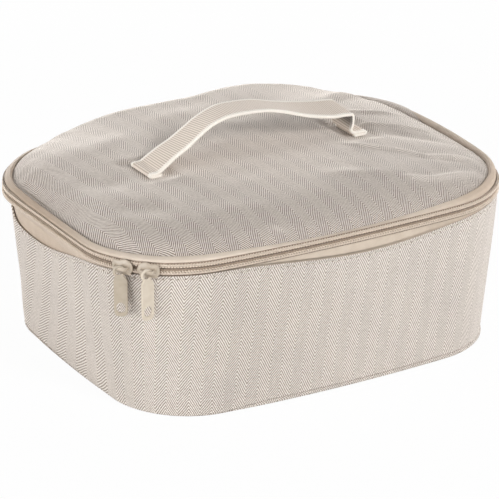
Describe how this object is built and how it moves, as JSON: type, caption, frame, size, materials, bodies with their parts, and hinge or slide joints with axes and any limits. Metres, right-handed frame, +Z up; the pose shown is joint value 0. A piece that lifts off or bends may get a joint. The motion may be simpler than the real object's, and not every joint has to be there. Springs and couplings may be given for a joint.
{
  "type": "cooler bag",
  "caption": "Soft insulated lunch bag with rounded corners, a zipped fabric-hinged crowned lid and a webbing carrying strap, for keeping food cold.",
  "frame": {"origin": "centre of the base's underside, on the surface that the bag stands on", "axes": "+Z up, +X to the right along the front, +Y to the back where the lid hinges"},
  "size_m": [0.2938, 0.2308, 0.153],
  "materials": {
    "weave": "woven herringbone",
    "lid_weave": "woven herringbone",
    "foam": "closed-cell foam",
    "foil": "satin metallised film",
    "tape": "close-woven tape",
    "coil": "satin",
    "webbing": "ribbed webbing",
    "painted_metal": "satin paint"
  },
  "bodies": {
    "bag": {"base_panel": "weave", "base_foam": "foam", "base_liner": "foil", "outer_wall": "weave", "back_panel": "weave", "side_foam": "foam", "back_foam": "foam", "wall_liner": "foil", "rim_binding": "tape", "lower_zip_tape": "tape", "lower_zip_coil": "coil", "hinge_strip": "tape"},
    "lid": {"lid_panel": "lid_weave", "lid_foam": "foam", "lid_liner": "foil", "lid_binding": "tape", "upper_zip_tape": "tape", "upper_zip_coil": "coil", "handle_strap": "webbing"},
    "slider_left": {"slider_left": "painted_metal"},
    "slider_right": {"slider_right": "painted_metal"},
    "puller_left": {"puller_left": "painted_metal"},
    "puller_right": {"puller_right": "painted_metal"}
  },
  "joints": [
    {"name": "lid_hinge", "type": "hinge", "parent": "bag", "child": "lid", "pos_m": [0, 0.1156, 0.098], "axis": [-1, 0, 0], "range_deg": [0, 170]},
    {"name": "slider_left_travel", "type": "hinge", "parent": "bag", "child": "slider_left", "pos_m": [-0.07563, -0.04248, 0.098], "axis": [0, 0, -1], "range_deg": [0, 22]},
    {"name": "slider_right_travel", "type": "hinge", "parent": "bag", "child": "slider_right", "pos_m": [-0.07563, -0.04248, 0.098], "axis": [0, 0, 1], "range_deg": [0, 30]},
    {"name": "puller_left_swing", "type": "hinge", "parent": "slider_left", "child": "puller_left", "pos_m": [-0.13876, -0.08316, 0.098], "axis": [-0.5416, 0.8406, 0], "range_deg": [0, 165]},
    {"name": "puller_right_swing", "type": "hinge", "parent": "slider_right", "child": "puller_right", "pos_m": [-0.12665, -0.09759, 0.098], "axis": [-0.7338, 0.6794, 0], "range_deg": [0, 165]}
  ]
}
